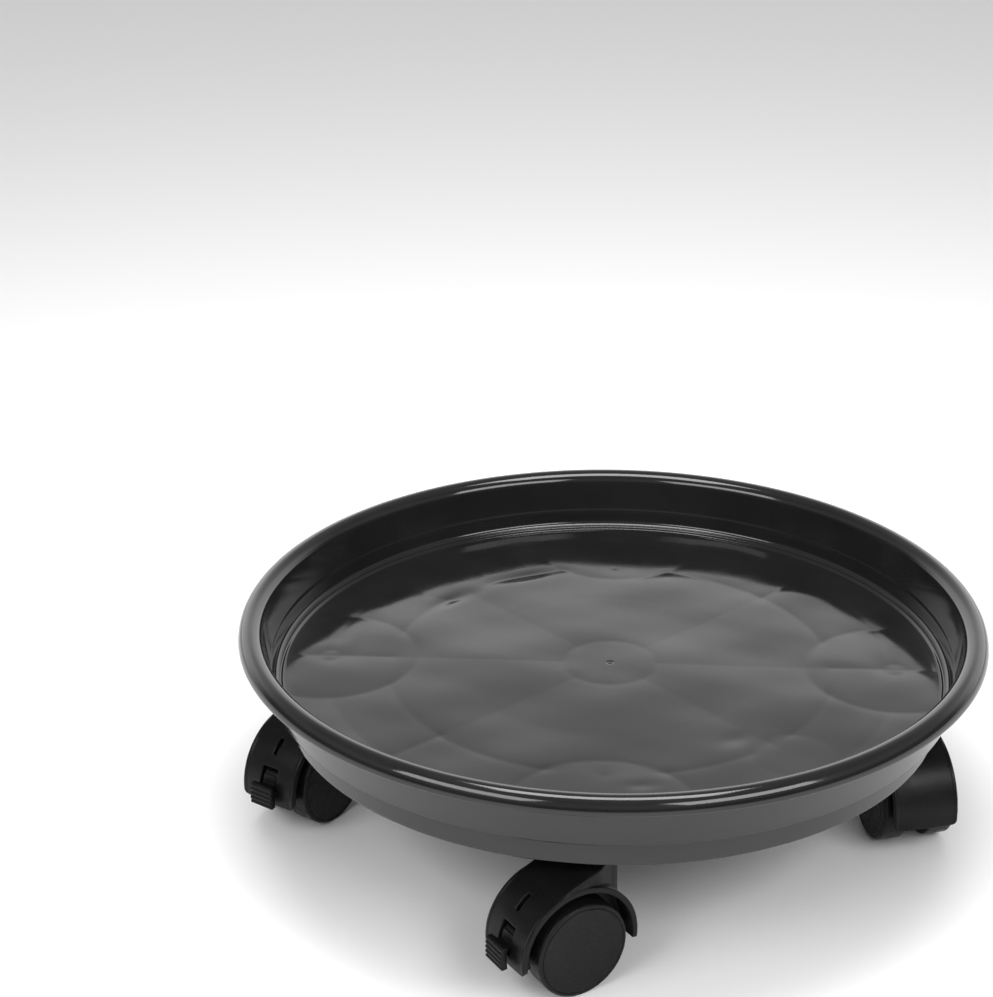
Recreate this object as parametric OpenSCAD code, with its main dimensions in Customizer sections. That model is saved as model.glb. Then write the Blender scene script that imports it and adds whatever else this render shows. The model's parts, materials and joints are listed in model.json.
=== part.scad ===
// Round plant pot caddy: a rolling tray on four swivelling twin-wheel casters,
// two of them with a toe brake. Millimetres, +Z up, origin on the ground under
// the middle of the tray.

/* [Tray] */
// Radius of the tray's rim over its outside
rim_r = 200; // [150:1:260]
// Height of the rim's top above the ground
rim_top_z = 118.5; // [100:0.5:150]
// Width of the rolled rim, from the dish wall to the outside
rim_w = 10; // [6:0.5:16]
// How far the rim's outer face hangs down
rim_drop = 8.2; // [5:0.1:14]
// Thickness of the rim's outer face
rim_face_t = 3.6; // [2:0.1:5]
// Rounding of the rim's top corners
rim_round = 2.4; // [0.5:0.1:2.6]
// Inside radius of the dish at the foot of its wall
dish_r = 182; // [130:1:240]
// Thickness of the dish wall and floor
wall_t = 2.4; // [1.5:0.1:4]
// Height of the floor's top face above the ground
floor_z = 85.8; // [70:0.1:110]
// Step up from the floor to the shelf around it
shelf_step = 1.3; // [0.4:0.1:3]
// Radius where the floor meets the shelf
shelf_r = 178; // [120:1:236]
// Outside radius of the skirt under the floor
skirt_r = 176.8; // [118:0.2:235]
// Height of the skirt's bottom edge above the ground
skirt_z = 69.8; // [55:0.1:90]
// Thickness of the skirt
skirt_t = 2.2; // [1.4:0.1:4]

/* [Ribs under the floor] */
// Thickness of the stiffening ribs
rib_t = 1.8; // [1:0.1:3]
// Height of the ribs' bottom edges above the ground
rib_z = 72.4; // [60:0.1:85]
// Number of straight ribs
spoke_n = 8; // [4:4:16]
// Mid radius of the innermost ring rib
ring_a_r = 25.5; // [15:0.5:40]
// Mid radius of the second ring rib
ring_b_r = 79.8; // [50:0.2:100]
// Mid radius of the third ring rib
ring_c_r = 120.2; // [90:0.2:140]
// Mid radius of the round rib about each caster
pad_r = 48; // [30:0.5:60]
// Mid radius of the two small round ribs
eye_r = 20.8; // [12:0.2:30]
// Distance of the small round ribs from the middle
eye_at = 133.5; // [90:0.5:160]

/* [Stem sockets] */
// Distance of the caster stems from the middle
stem_at = 153.4; // [100:0.2:170]
// Outside radius of a stem socket
socket_r = 10; // [8:0.1:14]
// Height of a stem socket's lower face above the ground
socket_z = 66.2; // [55:0.1:80]
// Radius of the bore that takes the stem and its grip ring
socket_bore_r = 5.75; // [4:0.05:8]
// Height of the bore's closed end above the ground
socket_top_z = 82.4; // [70:0.1:85]

/* [Casters] */
// Way the front caster trails, seen from above
swivel_front = -145; // [-180:1:180]
// Way the left caster trails
swivel_left = -122; // [-180:1:180]
// Way the right caster trails
swivel_right = -74; // [-180:1:180]
// Way the back caster trails
swivel_back = -100; // [-180:1:180]
// Radius of a wheel
wheel_r = 25; // [18:0.5:40]
// How far the axle trails behind the stem
trail = 23; // [12:0.5:35]
// Distance of a wheel's outer face from the caster's middle
wheel_out = 20; // [14:0.1:26]
// Distance of a wheel's inner face from the caster's middle
wheel_in = 6.7; // [4:0.1:10]
// Thickness of a wheel's rim
wheel_rim_t = 3; // [1.5:0.1:5]
// Thickness of a wheel's disc
wheel_disc_t = 2.4; // [1.5:0.1:4]
// Outside radius of a wheel's hub
wheel_hub_r = 6; // [4.5:0.1:9]
// Number of ribs inside a wheel
wheel_rib_n = 6; // [3:1:12]
// Outside radius of the hood over the wheels
hood_r = 32.5; // [24:0.1:46]
// How much the hood's back bulges in the middle
hood_crown = 0.5; // [0:0.1:2]
// Thickness of the hood's shell
hood_t = 2.6; // [2:0.1:5]
// Half of the hood's width
hood_half = 17.5; // [12:0.1:24]
// Half of the thickness of the web between the wheels
web_half = 6.2; // [4:0.1:9]
// Angle of the hood's rear edge below the axle
hood_rear_deg = 10; // [0:1:30]
// Angle of the hood's front edge below the axle
hood_front_deg = 8; // [0:1:30]
// Radius of the neck around the stem
neck_r = 7; // [6:0.1:12]
// Height of the neck's top above the ground
neck_z = 64.4; // [50:0.1:75]
// Radius of the axle
axle_r = 3; // [2:0.1:5]
// Clearance around every turning shaft
run_gap = 0.05; // [0.02:0.01:0.1]

/* [Stem] */
// Radius of the stem inside the tray's socket
stem_top_r = 5.5; // [4:0.1:7.5]
// Radius of the stem's collar
collar_r = 7.4; // [6:0.1:11]
// Thickness of the stem's collar
collar_t = 1.6; // [0.8:0.1:3]
// Radius of the stem inside the hood's neck
stem_low_r = 4; // [2.5:0.1:5]
// Height of the stem's lower end above the ground
stem_low_z = 36; // [30:0.5:45]
// Height of the middle of the grip ring's groove above the ground
ring_groove_z = 75; // [70:0.5:80]
// Height of the middle of the clip's groove above the ground
clip_groove_z = 39.6; // [36:0.1:50]

/* [Toe brake] */
// Half of the width of the ridged tab
tab_half = 7.5; // [4:0.5:12]
// Radius of the tab's inner face about the axle
tab_in_r = 35.4; // [33.5:0.1:40]
// Radius of the tab's outer face about the axle
tab_out_r = 39.2; // [35:0.1:45]
// Angle of the tab's lower edge below the axle
tab_low_deg = 7.5; // [2:0.5:15]
// Angle of the tab's upper edge above the axle
tab_high_deg = 11.5; // [6:0.5:20]
// Number of ridges across the tab
ridge_n = 5; // [3:1:8]
// Radius of the brake's pivot about the axle
pivot_at = 28.8; // [27:0.1:31]
// Angle of the brake's pivot above the axle
pivot_deg = 19.5; // [15:0.5:25]
// Radius of the brake's two pivot stubs
pivot_r = 1.5; // [1:0.1:2]
// Half of the width over the pivot stubs
pivot_half = 9.3; // [7:0.1:12]
// Half of the width of the arm through the hood
arm_half = 4.4; // [3:0.1:6]
// Half of the width of the shoe that bears on both wheels
shoe_half = 14; // [8:0.5:16]

/* [Hidden] */
$fn = 96;
eps = 0.01;

// Tray profile, worked out from the rim inwards
rim_in_r = rim_r - rim_w;
rim_low_z = rim_top_z - rim_drop;
shelf_z = floor_z + shelf_step;
floor_low_z = floor_z - wall_t;
shelf_low_z = shelf_z - 1.9;
wall_foot_r = dish_r + wall_t;
cove_r = 1.6;
web_root_z = floor_low_z + eps;
spoke_end_r = skirt_r - skirt_t / 2;

// Ring of four casters: name order is front, left, right, back
at_front = -90;
at_left = 180;
at_right = 0;
at_back = 90;

// Caster, in its own frame: stem on Z, the axle at x = trail
axle_z = wheel_r;
axle_half = wheel_out - wheel_disc_t - 0.6;
hood_in_r = hood_r - hood_t;
bead_w = 1.8;
bead_h = 0.4;
collar_z = socket_z;
clip_t = 1.2;
clip_r = 4.9;
clip_pocket_r = 5.2;
clip_pocket_h = 2.4;
groove_depth = 0.7;
grip_t = 1.6;
grip_gap_deg = 30;
snap_r = axle_r - 0.5;
snap_at = 12.5;
snap_w = 1.6;
bevel_r = 1.1;
neck_low_z = stem_low_z - 1;
window_half = arm_half + 0.8;
window_low_deg = 1.5;
window_high_deg = 27;
lug_r = 3.1;
lug_in = web_half + 0.2;
lug_out = pivot_half + 0.3;
shoe_in_r = 26.5;
shoe_out_r = 28.4;
shoe_low_deg = 9;
shoe_high_deg = 1;
arm_low_deg = window_low_deg + 2.5;
sweep_r = shoe_in_r - 1.8;
slot_half = 1.4;
slot_low_deg = 40;
slot_high_deg = 57;
slot_floor_r = hood_r - 2.4;
// The hood's back is a round arc about the axle that runs on, from crest_deg, into
// a wider arc, which ends level with the top of the neck
crest_deg = 52;
crest_r = (neck_z - axle_z - hood_r * sin(crest_deg)) / (1 - sin(crest_deg));
crest_at = [(hood_r - crest_r) * cos(crest_deg), (hood_r - crest_r) * sin(crest_deg)];
body_half = hood_half - 0.5;
shoulder_x = 15;

// ---- tray ------------------------------------------------------------------

// Quarter-round corner as polygon points, from angle a to angle b
function corner(x, y, r, a, b, n = 8) =
  [for (i = [0:n]) [x + r * cos(a + (b - a) * i / n), y + r * sin(a + (b - a) * i / n)]];

// Half section of the dish, its shelf, its wall and the rolled rim
module dish_section()
  polygon(concat(
    [[0, floor_low_z], [shelf_r, floor_low_z], [shelf_r, shelf_low_z]],
    corner(wall_foot_r - 1, shelf_low_z + 1, 1, -90, 0),
    [[rim_in_r + wall_t, rim_top_z - wall_t - 3.2]],
    corner(rim_in_r + wall_t + 1.2, rim_top_z - wall_t - 1.2, 1.2, 180, 90),
    corner(rim_r - rim_face_t - 1.2, rim_top_z - wall_t - 1.2, 1.2, 90, 0),
    [[rim_r - rim_face_t, rim_low_z]],
    corner(rim_r - 1.2, rim_low_z + 1.2, 1.2, -90, 0),
    corner(rim_r - rim_round, rim_top_z - rim_round, rim_round, 0, 90),
    corner(rim_in_r + rim_round, rim_top_z - rim_round, rim_round, 90, 180),
    [[dish_r + 0.4, shelf_z + cove_r]],
    corner(dish_r - cove_r, shelf_z + cove_r, cove_r, 0, -90),
    [[shelf_r + 0.5, shelf_z], [shelf_r - 0.8, floor_z], [0, floor_z]]));

module ring_wall(r, t, z0, z1)
  difference() {
    translate([0, 0, z0])
      cylinder(r = r + t / 2, h = z1 - z0);
    translate([0, 0, z0 - 1])
      cylinder(r = r - t / 2, h = z1 - z0 + 2);
  }

// Keep-out columns: inside the caster pads and the small round ribs
module pad_columns(r)
  for (a = [0:90:270])
    rotate(a)
      translate([stem_at, 0, rib_z - 1])
        cylinder(r = r, h = floor_z - rib_z);

module eye_columns(r)
  for (a = [-45, 135])
    rotate(a)
      translate([eye_at, 0, rib_z - 1])
        cylinder(r = r, h = floor_z - rib_z);

module dish_column(r)
  translate([0, 0, rib_z - 2])
    cylinder(r = r, h = floor_z - rib_z);

module spokes()
  for (i = [0:spoke_n - 1])
    rotate(i * 360 / spoke_n)
      translate([ring_a_r, -rib_t / 2, rib_z])
        cube([spoke_end_r - ring_a_r, rib_t, web_root_z - rib_z]);

module ribs() {
  ring_wall(ring_a_r, rib_t, rib_z, web_root_z);
  ring_wall(ring_b_r, rib_t, rib_z, web_root_z);
  ring_wall(stem_at, rib_t, rib_z, web_root_z);
  difference() {
    spokes();
    eye_columns(eye_r);
  }
  difference() {
    ring_wall(ring_c_r, rib_t, rib_z, web_root_z);
    pad_columns(pad_r);
    eye_columns(eye_r);
  }
  intersection() {
    union() {
      for (a = [0:90:270])
        rotate(a)
          translate([stem_at, 0, 0])
            ring_wall(pad_r, rib_t, rib_z, web_root_z);
      for (a = [-45, 135])
        rotate(a)
          translate([eye_at, 0, 0])
            ring_wall(eye_r, rib_t, rib_z, web_root_z);
    }
    dish_column(spoke_end_r);
  }
}

module tray()
  color([0.13, 0.13, 0.14])
    difference() {
      union() {
        rotate_extrude($fn = 180)
          dish_section();
        ring_wall(skirt_r - skirt_t / 2, skirt_t, skirt_z, web_root_z, $fn = 180);
        ribs();
        for (a = [0:90:270])
          rotate(a)
            translate([stem_at, 0, socket_z])
              cylinder(r = socket_r, h = web_root_z - socket_z);
      }
      for (a = [0:90:270])
        rotate(a)
          translate([stem_at, 0, socket_z - 1])
            cylinder(r = socket_bore_r, h = socket_top_z - socket_z + 1);
    }

// ---- caster ----------------------------------------------------------------

// Puts a caster piece under its socket, turned the way it trails
module placed(at, swivel)
  rotate(at)
    translate([stem_at, 0, 0])
      rotate(swivel - at)
        children();

// Puts a piece drawn about the Z axis onto the axle, along the caster's width
module on_axle()
  translate([trail, 0, axle_z])
    rotate([90, 0, 0])
      children();

// Sector of the x-z plane about the axle, swept over the caster's width
module sector(a0, a1, r, half)
  on_axle()
    linear_extrude(height = 2 * half, center = true)
      polygon(concat([[0, 0]], [for (i = [0:8])
        let (a = a0 + (a1 - a0) * i / 8) [r * cos(a), r * sin(a)]]));

// Barrel section of the hood's shell, revolved about the axle
module shell_section()
  polygon(concat(
    [[hood_in_r, -hood_half], [hood_r + bead_h, -hood_half],
     [hood_r + bead_h, bead_w - hood_half]],
    [for (i = [-6:6])
      let (w = i / 6 * (hood_half - bead_w - 0.3))
        [hood_r + hood_crown * (1 - pow(i / 6, 2)), w]],
    [[hood_r + bead_h, hood_half - bead_w], [hood_r + bead_h, hood_half],
     [hood_in_r, hood_half]]));

// The shell over the wheels and the web between them, open underneath
module shell() {
  difference() {
    union() {
      on_axle()
        rotate_extrude()
          shell_section();
      on_axle()
        cylinder(r = hood_in_r + 1, h = 2 * web_half, center = true);
    }
    sector(180 + hood_front_deg, 360 - hood_rear_deg, hood_r * 2, hood_half + 1);
  }
  on_axle()
    cylinder(r = 7, h = 2 * web_half, center = true);
}

// Side outline of the crest that joins the hood's back to the neck's top
module crest_outline() {
  steps = 14;
  top_deg = 90;
  polygon(concat(
    [[0, 0]],
    [for (i = [0:steps]) let (a = crest_deg + (top_deg - crest_deg) * i / steps)
      [crest_at[0] + crest_r * cos(a), crest_at[1] + crest_r * sin(a)]],
    [[-trail - neck_r, neck_z - axle_z], [-trail - neck_r, 12]]));
}

// Plan outline of the crest: as wide as the hood behind, as narrow as the neck in front
module crest_plan() {
  reach = norm([shoulder_x, body_half]);
  touch = atan2(body_half, shoulder_x) + acos(neck_r / reach);
  far = trail + hood_r;
  polygon([[neck_r * cos(touch), neck_r * sin(touch)], [shoulder_x, body_half],
    [far, body_half], [far, -body_half], [shoulder_x, -body_half],
    [neck_r * cos(touch), -neck_r * sin(touch)]]);
}

module crest()
  intersection() {
    on_axle()
      linear_extrude(height = 2 * body_half, center = true)
        crest_outline();
    translate([0, 0, neck_low_z])
      linear_extrude(height = neck_z)
        crest_plan();
  }

module neck()
  translate([0, 0, neck_low_z])
    cylinder(r = neck_r, h = neck_z - neck_low_z);

// Space for the wheels, on both sides of the web
module wheel_room()
  for (s = [-1, 1])
    translate([trail, s * (web_half + hood_half / 2 + 1), axle_z])
      rotate([90, 0, 0])
        cylinder(r = hood_in_r, h = hood_half + 2, center = true);

module hood(braked) {
  difference() {
    union() {
      difference() {
        union() {
          shell();
          crest();
          neck();
        }
        wheel_room();
      }
      if (braked)
        pivot_lugs();
    }
    on_axle()
      cylinder(r = axle_r, h = 4 * web_half, center = true);
    translate([0, 0, stem_low_z - 0.4])
      cylinder(r = stem_low_r + run_gap, h = neck_z);
    translate([0, 0, clip_groove_z - clip_pocket_h / 2])
      cylinder(r = clip_pocket_r, h = clip_pocket_h);
    if (braked)
      brake_room();
  }
}

// Puts a piece drawn about the Z axis onto the brake's pivot
module on_pivot()
  translate([trail + pivot_at * cos(pivot_deg), 0, axle_z + pivot_at * sin(pivot_deg)])
    rotate([90, 0, 0])
      children();

// Lugs inside a braked hood that hold the brake's pivot stubs
module pivot_lugs()
  for (s = [-1, 1])
    on_pivot()
      translate([0, 0, s * (lug_in + lug_out) / 2])
        cylinder(r = lug_r, h = lug_out - lug_in, center = true);

// Openings in a braked hood: the window, the shoe's way, the stub holes and the slot
module brake_room() {
  difference() {
    union() {
      sector(window_low_deg, window_high_deg, hood_r * 1.3, window_half);
      sector(-hood_rear_deg - 2, window_high_deg, hood_in_r + eps, lug_in);
    }
    on_axle()
      cylinder(r = sweep_r, h = 4 * hood_half, center = true);
  }
  on_pivot()
    cylinder(r = pivot_r + run_gap, h = 2 * pivot_half + 0.4, center = true);
  band(slot_floor_r, hood_r * 1.3, slot_low_deg, slot_high_deg, slot_half);
}

module stem()
  difference() {
    union() {
      translate([0, 0, stem_low_z])
        cylinder(r1 = stem_low_r - 0.6, r2 = stem_low_r, h = 0.8);
      translate([0, 0, stem_low_z + 0.8])
        cylinder(r = stem_low_r, h = collar_z - stem_low_z);
      translate([0, 0, collar_z - collar_t])
        cylinder(r = collar_r, h = collar_t);
      translate([0, 0, collar_z - eps])
        cylinder(r = stem_top_r, h = socket_top_z - 1.4 - collar_z);
      translate([0, 0, socket_top_z - 1.4 - eps])
        cylinder(r1 = stem_top_r, r2 = stem_top_r - 0.9, h = 0.9);
    }
    ring_cut(stem_low_r - groove_depth, stem_low_r + 1, clip_groove_z, clip_t + 0.1);
    ring_cut(stem_top_r - groove_depth, stem_top_r + 1, ring_groove_z, grip_t + 0.2);
  }

module ring_cut(r0, r1, z, h)
  translate([0, 0, z])
    difference() {
      cylinder(r = r1, h = h, center = true);
      cylinder(r = r0, h = h + 1, center = true);
    }

// Split ring lying in a groove, open by the given angle
module split_ring(r0, r1, z, h, open_deg)
  translate([0, 0, z])
    difference() {
      cylinder(r = r1, h = h, center = true);
      cylinder(r = r0, h = h + 1, center = true);
      rotate(-open_deg / 2)
        linear_extrude(height = h + 1, center = true)
          polygon([[0, 0], [2 * r1, 0], [2 * r1 * cos(open_deg), 2 * r1 * sin(open_deg)]]);
    }

module grip_ring()
  split_ring(stem_top_r - groove_depth + 0.02, socket_bore_r - 0.02, ring_groove_z,
    grip_t, grip_gap_deg);

module stem_clip()
  split_ring(stem_low_r - groove_depth + 0.02, clip_r, clip_groove_z, clip_t, 60);

module axle()
  on_axle()
    difference() {
      cylinder(r = axle_r, h = 2 * axle_half, center = true);
      for (s = [-1, 1])
        ring_cut(snap_r, axle_r + 1, s * snap_at, snap_w);
    }

// Half section of a wheel: x is the radius, y the distance from its inner face
module wheel_section() {
  w = wheel_out - wheel_in;
  polygon(concat(
    [[0, w - wheel_disc_t], [wheel_r - wheel_rim_t, w - wheel_disc_t],
     [wheel_r - wheel_rim_t, 0], [wheel_r - 0.8, 0], [wheel_r, 0.8]],
    corner(wheel_r - bevel_r, w - bevel_r - 0.2, bevel_r, 0, 75),
    [[wheel_r - 1.5, w - 0.3], [wheel_r - 1.7, w - 0.7], [wheel_r - 2.1, w - 0.7],
     [wheel_r - 2.3, w - 0.2], [wheel_hub_r, w], [0, w]]));
}

module wheel_blank() {
  w = wheel_out - wheel_in;
  rotate_extrude()
    wheel_section();
  cylinder(r = wheel_hub_r, h = w - 1);
  for (i = [0:wheel_rib_n - 1])
    rotate(i * 360 / wheel_rib_n)
      translate([wheel_hub_r - 1, -0.7, 2])
        cube([wheel_r - wheel_rim_t - wheel_hub_r + 2, 1.4, w - 3]);
}

// Side is 1 for the wheel on the caster's left as it trails, -1 for the other
module wheel(side)
  translate([trail, 0, axle_z])
    rotate([-90 * side, 0, 0])
      translate([0, 0, wheel_in])
        union() {
          difference() {
            wheel_blank();
            translate([0, 0, -1])
              cylinder(r = axle_r + run_gap, h = axle_half - wheel_in + 1.4);
          }
          ring_cut(snap_r + 2 * run_gap, wheel_hub_r - 1, snap_at - wheel_in, snap_w - 0.4);
        }

// Toe brake: ridged tab outside, arm through the hood's window, shoe inside
module brake() {
  tab();
  arm();
  shoe();
  on_pivot()
    cylinder(r = pivot_r, h = 2 * pivot_half, center = true);
}

module band(r0, r1, a0, a1, half)
  on_axle()
    linear_extrude(height = 2 * half, center = true)
      polygon(concat(
        [for (i = [0:10]) let (a = a0 + (a1 - a0) * i / 10) [r1 * cos(a), r1 * sin(a)]],
        [for (i = [10:-1:0]) let (a = a0 + (a1 - a0) * i / 10) [r0 * cos(a), r0 * sin(a)]]));

module tab() {
  band(tab_in_r, tab_out_r - 0.7, -tab_low_deg, tab_high_deg, tab_half);
  step = (tab_low_deg + tab_high_deg) / ridge_n;
  for (i = [0:ridge_n - 1])
    band(tab_out_r - 0.8, tab_out_r, step * (i + 0.2) - tab_low_deg,
      step * (i + 0.8) - tab_low_deg, tab_half);
}

module arm() {
  band(shoe_out_r - 0.5, tab_in_r + 0.5, arm_low_deg, tab_high_deg - 1, arm_half);
  band(shoe_in_r, hood_r - 0.4, arm_low_deg, pivot_deg, arm_half);
  band(shoe_in_r, shoe_out_r, -shoe_high_deg - 1, arm_low_deg + 1, arm_half);
  on_pivot()
    cylinder(r = 2.6, h = 2 * arm_half, center = true);
}

module shoe()
  band(shoe_in_r, shoe_out_r, -shoe_low_deg, -shoe_high_deg, shoe_half);

// ---- nodes -----------------------------------------------------------------

module black_part() color([0.05, 0.05, 0.055]) children();
module steel_part() color([0.6, 0.6, 0.62]) children();

module hood_front() black_part() placed(at_front, swivel_front) hood(true);
module hood_left() black_part() placed(at_left, swivel_left) hood(true);
module hood_right() black_part() placed(at_right, swivel_right) hood(false);
module hood_back() black_part() placed(at_back, swivel_back) hood(false);

module stem_front() steel_part() placed(at_front, swivel_front) stem();
module stem_left() steel_part() placed(at_left, swivel_left) stem();
module stem_right() steel_part() placed(at_right, swivel_right) stem();
module stem_back() steel_part() placed(at_back, swivel_back) stem();

module grip_ring_front() steel_part() placed(at_front, swivel_front) grip_ring();
module grip_ring_left() steel_part() placed(at_left, swivel_left) grip_ring();
module grip_ring_right() steel_part() placed(at_right, swivel_right) grip_ring();
module grip_ring_back() steel_part() placed(at_back, swivel_back) grip_ring();

module stem_clip_front() steel_part() placed(at_front, swivel_front) stem_clip();
module stem_clip_left() steel_part() placed(at_left, swivel_left) stem_clip();
module stem_clip_right() steel_part() placed(at_right, swivel_right) stem_clip();
module stem_clip_back() steel_part() placed(at_back, swivel_back) stem_clip();

module axle_front() steel_part() placed(at_front, swivel_front) axle();
module axle_left() steel_part() placed(at_left, swivel_left) axle();
module axle_right() steel_part() placed(at_right, swivel_right) axle();
module axle_back() steel_part() placed(at_back, swivel_back) axle();

module wheel_front_a() black_part() placed(at_front, swivel_front) wheel(1);
module wheel_front_b() black_part() placed(at_front, swivel_front) wheel(-1);
module wheel_left_a() black_part() placed(at_left, swivel_left) wheel(1);
module wheel_left_b() black_part() placed(at_left, swivel_left) wheel(-1);
module wheel_right_a() black_part() placed(at_right, swivel_right) wheel(1);
module wheel_right_b() black_part() placed(at_right, swivel_right) wheel(-1);
module wheel_back_a() black_part() placed(at_back, swivel_back) wheel(1);
module wheel_back_b() black_part() placed(at_back, swivel_back) wheel(-1);

module brake_front() black_part() placed(at_front, swivel_front) brake();
module brake_left() black_part() placed(at_left, swivel_left) brake();

tray();
hood_front();
stem_front();
grip_ring_front();
stem_clip_front();
axle_front();
wheel_front_a();
wheel_front_b();
brake_front();
hood_left();
stem_left();
grip_ring_left();
stem_clip_left();
axle_left();
wheel_left_a();
wheel_left_b();
brake_left();
hood_right();
stem_right();
grip_ring_right();
stem_clip_right();
axle_right();
wheel_right_a();
wheel_right_b();
hood_back();
stem_back();
grip_ring_back();
stem_clip_back();
axle_back();
wheel_back_a();
wheel_back_b();
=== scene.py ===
"""Plant pot caddy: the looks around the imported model.

Shapes are drawn in millimetres and become metres when their mesh is made. A caster's pieces
are drawn once, about the axle, and placed at each of the four casters."""

import json
import math

import bpy
import numpy as np
from mathutils import Matrix, Vector


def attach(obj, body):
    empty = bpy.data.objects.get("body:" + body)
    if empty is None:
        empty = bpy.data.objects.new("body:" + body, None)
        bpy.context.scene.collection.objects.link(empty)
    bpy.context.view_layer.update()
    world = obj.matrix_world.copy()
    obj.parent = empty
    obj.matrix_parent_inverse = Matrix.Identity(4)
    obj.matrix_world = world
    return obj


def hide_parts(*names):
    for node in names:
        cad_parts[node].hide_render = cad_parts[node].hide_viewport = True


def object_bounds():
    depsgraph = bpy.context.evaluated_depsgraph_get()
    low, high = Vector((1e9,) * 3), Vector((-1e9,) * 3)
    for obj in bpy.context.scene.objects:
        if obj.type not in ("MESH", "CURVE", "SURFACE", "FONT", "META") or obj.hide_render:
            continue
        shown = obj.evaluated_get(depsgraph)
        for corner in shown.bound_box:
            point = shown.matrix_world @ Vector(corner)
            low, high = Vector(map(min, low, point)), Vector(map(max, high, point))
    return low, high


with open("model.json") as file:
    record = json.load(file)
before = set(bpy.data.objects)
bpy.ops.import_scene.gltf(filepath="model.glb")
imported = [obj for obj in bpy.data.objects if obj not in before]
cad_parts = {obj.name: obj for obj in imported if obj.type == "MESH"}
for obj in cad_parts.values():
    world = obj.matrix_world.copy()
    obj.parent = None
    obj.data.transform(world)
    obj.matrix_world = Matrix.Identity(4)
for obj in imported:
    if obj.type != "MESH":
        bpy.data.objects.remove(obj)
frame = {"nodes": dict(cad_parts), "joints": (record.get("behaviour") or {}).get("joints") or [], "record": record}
cad_low, cad_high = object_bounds()

MM = 0.001
scene = bpy.context.scene

# ---- driving dimensions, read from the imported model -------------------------
RIM_R = cad_high.x / MM
RIM_TOP_Z = cad_high.z / MM
FLOOR_Z = frame["record"]["mounts"][0]["pos_m"][2] / MM
JOINTS = {j["name"]: j for j in frame["joints"]}
CASTERS = [j["name"][len("swivel_"):] for j in frame["joints"]
           if j["name"].startswith("swivel_")]
STEM_AT = Vector(JOINTS["swivel_front"]["pos_m"][:2]).length / MM
WHEEL_R = JOINTS["roll_front_a"]["pos_m"][2] / MM


def caster_frame(name):
    """Places a piece drawn in the caster's own frame: stem on Z, the wheels towards +X."""
    stem = Vector(JOINTS["swivel_" + name]["pos_m"])
    across = Vector(JOINTS["roll_" + name + "_a"]["axis"])
    back = across.cross(Vector((0, 0, 1)))
    return Matrix(((back.x, across.x, 0, stem.x), (back.y, across.y, 0, stem.y),
                   (0, 0, 1, 0), (0, 0, 0, 1)))


def stem_angle(name):
    """Angle of the caster's place on the tray, in radians."""
    x, y, _ = JOINTS["swivel_" + name]["pos_m"]
    return math.atan2(y, x)


# ---- camera, as the photograph stands ----------------------------------------
IMAGE_W = 993
CAM_FOCAL_PX = 2220.0
CAM_DISTANCE = 6 * RIM_R * MM
CAM_TARGET = Vector((0, 0, (RIM_TOP_Z - 5) * MM))
CAM_ELEVATION = math.radians(26.41)
CAM_AZIMUTH = math.radians(1.0)
CAM_ROLL = math.radians(0.95)
CAM_YAW = math.radians(2.94)
CAM_PITCH = math.radians(-3.05)


def make_camera():
    data = bpy.data.cameras.new("camera")
    data.sensor_fit = "HORIZONTAL"
    data.sensor_width = 36.0
    data.lens = data.sensor_width * CAM_FOCAL_PX / IMAGE_W
    data.clip_start, data.clip_end = 0.05, 50
    camera = bpy.data.objects.new("camera", data)
    scene.collection.objects.link(camera)
    back = Vector((math.sin(CAM_AZIMUTH) * math.cos(CAM_ELEVATION),
                   -math.cos(CAM_AZIMUTH) * math.cos(CAM_ELEVATION),
                   math.sin(CAM_ELEVATION)))
    forward = -back
    right = forward.cross(Vector((0, 0, 1))).normalized()
    down = forward.cross(right)
    aim = Matrix((right, down, forward))
    turn = (Matrix.Rotation(CAM_PITCH, 3, "X") @ Matrix.Rotation(CAM_YAW, 3, "Y")
            @ Matrix.Rotation(CAM_ROLL, 3, "Z"))
    view = turn @ aim
    axes = Matrix((view[0], -view[1], -view[2])).transposed()
    camera.matrix_world = Matrix.Translation(CAM_TARGET + back * CAM_DISTANCE) @ axes.to_4x4()
    scene.camera = camera


# ---- mesh tools --------------------------------------------------------------
def mesh_object(name, verts, faces, smooth_deg=30):
    """Object of the given points in millimetres, smooth except over sharp edges."""
    mesh = bpy.data.meshes.new(name)
    mesh.from_pydata((np.asarray(verts, float) * MM).tolist(), [],
                     [tuple(int(i) for i in f) for f in faces])
    mesh.validate()
    mesh.update()
    shade(mesh, smooth_deg)
    obj = bpy.data.objects.new(name, mesh)
    scene.collection.objects.link(obj)
    return obj


def shade(mesh, smooth_deg):
    mesh.polygons.foreach_set("use_smooth", [True] * len(mesh.polygons))
    if smooth_deg:
        mesh.set_sharp_from_angle(angle=math.radians(smooth_deg))
    mesh.update()


def arc(cx, cy, r, a0, a1, n):
    """Points of a circle's arc from angle a0 to a1, in degrees."""
    return [(cx + r * math.cos(math.radians(a0 + (a1 - a0) * i / n)),
             cy + r * math.sin(math.radians(a0 + (a1 - a0) * i / n))) for i in range(n + 1)]


def lathe(profile, segments):
    """Closed shape of a closed (r, z) profile turned about Z. Points on the axis are shared."""
    profile = list(profile)
    verts, rows = [], []
    for r, z in profile:
        if r < 1e-6:
            rows.append([len(verts)] * segments)
            verts.append((0, 0, z))
            continue
        rows.append(list(range(len(verts), len(verts) + segments)))
        for s in range(segments):
            a = 2 * math.pi * s / segments
            verts.append((r * math.cos(a), r * math.sin(a), z))
    faces = []
    for i in range(len(rows)):
        a, b = rows[i], rows[(i + 1) % len(rows)]
        for s in range(segments):
            t = (s + 1) % segments
            quad = [a[s], a[t], b[t], b[s]]
            face = [v for k, v in enumerate(quad) if v != quad[k - 1]]
            if len(face) > 2:
                faces.append(face)
    return verts, faces


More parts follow.
